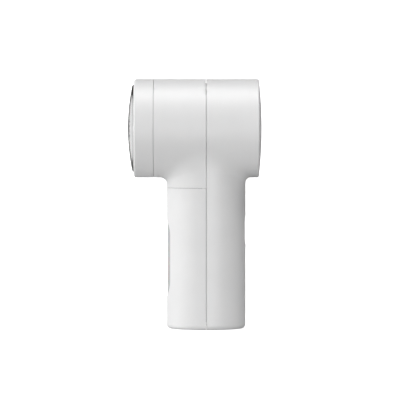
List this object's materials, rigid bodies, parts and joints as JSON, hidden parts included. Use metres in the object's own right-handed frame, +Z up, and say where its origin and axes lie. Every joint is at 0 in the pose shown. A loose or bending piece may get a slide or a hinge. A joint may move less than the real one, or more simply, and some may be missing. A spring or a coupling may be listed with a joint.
{
  "type": "fabric shaver",
  "caption": "Cordless hand-held fabric shaver: cylindrical head with domed perforated foil across a round handle with a pull-off lint bin and a push button.",
  "frame": {"origin": "on the plane of the flat base, under the middle of the shaver's front-to-back length; the handle's axis is 5.65 mm behind it in X", "axes": "+Z up the handle, -X the way the shaving face looks, Y across, with the head's axis along X at Z 99.5 mm"},
  "size_m": [0.0666, 0.049, 0.124],
  "materials": {
    "white_shell": "satin moulded ABS with a very fine even texture",
    "grey_plastic": "satin moulded ABS or POM, light grey",
    "frosted_window": "frosted translucent polycarbonate",
    "black_plastic": "moulded engineering plastic, near black",
    "black_rubber": "soft elastomer",
    "felt": "pressed wool felt, oiled",
    "battery_film": "laminated pouch with a heat-shrink film",
    "circuit_board": "green solder mask on glass-epoxy laminate",
    "red_insulation": "PVC insulation",
    "black_insulation": "PVC insulation",
    "clear_lens": "clear diffusing acrylic",
    "polished_steel": "mirror-polished stainless steel",
    "foil_steel": "etched and ground stainless steel",
    "spring_steel": "drawn stainless spring wire",
    "zinc_steel": "zinc-plated sheet and screw steel",
    "copper": "enamelled copper wire and copper segments",
    "brass": "sintered bronze and stamped brass",
    "ferrite": "sintered ferrite"
  },
  "bodies": {
    "housing": {"battery_lead_negative": "black_insulation", "battery_lead_positive": "red_insulation", "battery_pack": "battery_film", "blade_chamber": "grey_plastic", "chamber_o_ring": "black_rubber", "chamber_screw_1": "zinc_steel", "chamber_screw_2": "zinc_steel", "chamber_screw_3": "zinc_steel", "chamber_screw_4": "zinc_steel", "chassis_screw_1": "zinc_steel", "chassis_screw_2": "zinc_steel", "chassis_screw_3": "zinc_steel", "chassis_screw_4": "zinc_steel", "front_housing": "white_shell", "handle_chassis": "grey_plastic", "interlock_switch": "black_plastic", "led_lens": "clear_lens", "lint_chute": "grey_plastic", "main_board": "circuit_board", "motor_brush_left": "copper", "motor_brush_right": "copper", "motor_can": "zinc_steel", "motor_damper": "black_rubber", "motor_end_cap": "grey_plastic", "motor_front_bushing": "brass", "motor_lead_negative": "black_insulation", "motor_lead_positive": "red_insulation", "motor_magnet_left": "ferrite", "motor_magnet_right": "ferrite", "motor_rear_bushing": "brass", "motor_screw_1": "zinc_steel", "motor_screw_2": "zinc_steel", "motor_terminal_left": "brass", "motor_terminal_right": "brass", "rear_housing": "white_shell", "shaft_seal": "felt", "tact_switch": "black_plastic", "usb_receptacle": "foil_steel"},
    "rotor": {"motor_shaft": "foil_steel", "armature_core": "zinc_steel", "armature_windings": "copper", "commutator": "copper", "drive_hub": "black_plastic", "cutter_spring": "spring_steel"},
    "cutter": {"cutter_disc": "black_plastic", "cutter_blade_1": "foil_steel", "cutter_blade_2": "foil_steel", "cutter_blade_3": "foil_steel", "cutter_blade_4": "foil_steel", "cutter_blade_5": "foil_steel"},
    "foil_cartridge": {"foil": "foil_steel", "foil_bezel": "polished_steel", "foil_clamp": "black_plastic"},
    "collar": {"collar_ring": "white_shell"},
    "bin": {"lint_bin": "white_shell", "bin_window": "frosted_window", "bin_seal": "black_rubber"},
    "button": {"power_button": "white_shell", "switch_plunger": "grey_plastic"},
    "interlock": {"interlock_pin": "grey_plastic"}
  },
  "joints": [
    {"name": "rotor_spin", "type": "hinge", "parent": "housing", "child": "rotor", "pos_m": [0, 0, 0.0995], "axis": [1, 0, 0], "continuous": true},
    {"name": "cutter_float", "type": "slide", "parent": "rotor", "child": "cutter", "axis": [1, 0, 0], "range_m": [0, 0.0008], "stiffness_N_per_m": 300, "springref_m": -0.002, "deforming": ["cutter_spring"]},
    {"name": "cartridge_lift", "type": "slide", "parent": "housing", "child": "foil_cartridge", "axis": [-1, 0, 0], "range_m": [0, 0.0076]},
    {"name": "collar_turn", "type": "hinge", "parent": "foil_cartridge", "child": "collar", "pos_m": [0, 0, 0.0995], "axis": [-1, 0, 0], "range_deg": [0, 75]},
    {"name": "interlock_slide", "type": "slide", "parent": "housing", "child": "interlock", "axis": [-1, 0, 0], "range_m": [0, 0.0016]},
    {"name": "bin_pull", "type": "slide", "parent": "housing", "child": "bin", "axis": [-1, 0, 0], "range_m": [0, 0.032]},
    {"name": "button_press", "type": "slide", "parent": "housing", "child": "button", "axis": [-1, 0, 0], "range_m": [0, 0.0008], "stiffness_N_per_m": 2000, "springref_m": -0.0003}
  ],
  "couplings": [
    {"joint": "cartridge_lift", "follows": "collar_turn", "m_per_rad": 0.0057296},
    {"joint": "interlock_slide", "follows": "collar_turn", "m_per_rad": 0.0011459}
  ]
}
